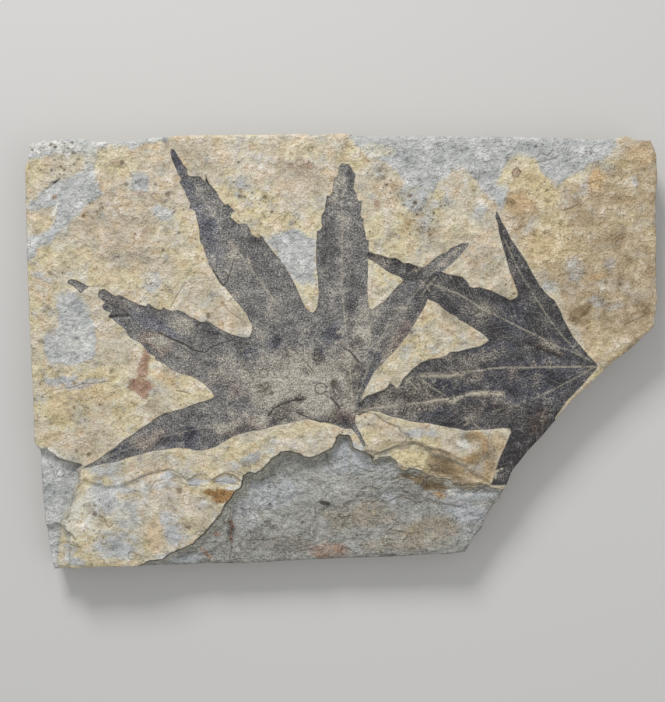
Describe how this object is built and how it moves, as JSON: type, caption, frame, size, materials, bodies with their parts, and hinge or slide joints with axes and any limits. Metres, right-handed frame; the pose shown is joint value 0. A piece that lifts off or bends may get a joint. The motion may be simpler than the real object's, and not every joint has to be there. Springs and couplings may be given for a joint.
{
  "type": "fossil leaf plate",
  "caption": "Flat broken slab of layered shale, split along a bedding plane that shows pressed palmate leaves. It lies on its back with the leaves up.",
  "frame": {"origin": "on the underside, below the middle of the slab's bounding box", "axes": "+X along the slab's long side, +Y up the slab towards its long straight edge and the leaf tips, +Z out of the split face"},
  "size_m": [0.3, 0.2074, 0.0181],
  "materials": {
    "shale": "matt, buff, with dark leaf films"
  },
  "bodies": {
    "root": {"fossil_plate": "shale"}
  },
  "joints": []
}
